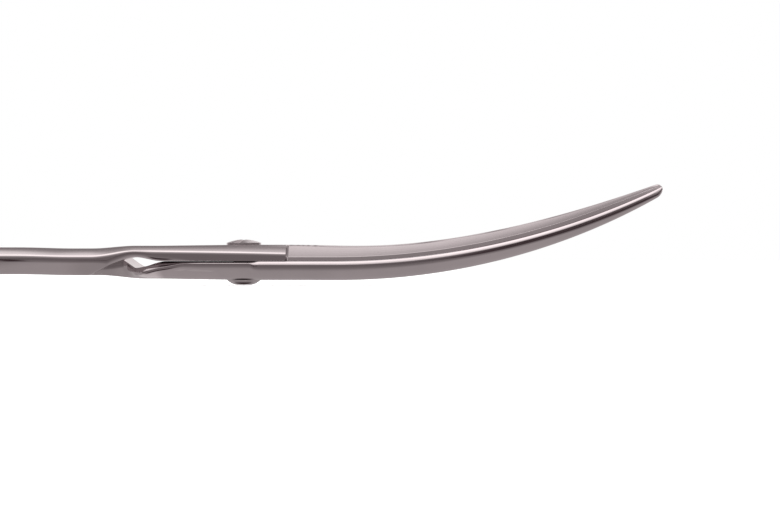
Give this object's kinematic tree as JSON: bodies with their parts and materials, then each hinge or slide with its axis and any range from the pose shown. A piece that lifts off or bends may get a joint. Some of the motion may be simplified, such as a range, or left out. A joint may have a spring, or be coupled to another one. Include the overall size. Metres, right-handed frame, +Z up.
{
  "type": "curved grooming scissors",
  "caption": "Curved steel grooming scissors with finger rings, coin-slotted tension screw, bumper and screw-in finger rest, shown closed.",
  "frame": {"origin": "on the pivot axis, at the small flat of the domed foot under the pivot", "axes": "+X along the closed blades to the tips, +Y away from the side that the picture shows, +Z up along the pivot axis to the screw head"},
  "size_m": [0.1875, 0.0717, 0.0209],
  "materials": {
    "polished_steel": "mirror-polished stainless steel, fine lengthwise grain",
    "screw_steel": "turned and polished stainless steel",
    "spring_steel": "plain turned",
    "nylon": "natural",
    "black_rubber": "soft matte"
  },
  "bodies": {
    "finger_half": {"finger_blade": "polished_steel", "pivot_nut": "screw_steel", "bearing_washer": "nylon", "finger_rest": "screw_steel", "bumper_post": "spring_steel", "bumper": "black_rubber", "finger_ring_insert": "black_rubber"},
    "thumb_half": {"thumb_blade": "polished_steel", "thumb_ring_insert": "black_rubber"},
    "tension_screw": {"pivot_screw": "screw_steel", "nylon_washer": "nylon", "spring_washer": "spring_steel"}
  },
  "joints": [
    {"name": "blade_pivot", "type": "hinge", "parent": "finger_half", "child": "thumb_half", "pos_m": [0, 0, 0.0049], "axis": [0, 0, 1], "range_deg": [0, 70]},
    {"name": "screw_adjust", "type": "hinge", "parent": "finger_half", "child": "tension_screw", "pos_m": [0, 0, 0.00817], "axis": [0, 0, 1], "range_deg": [-45, 90]}
  ]
}
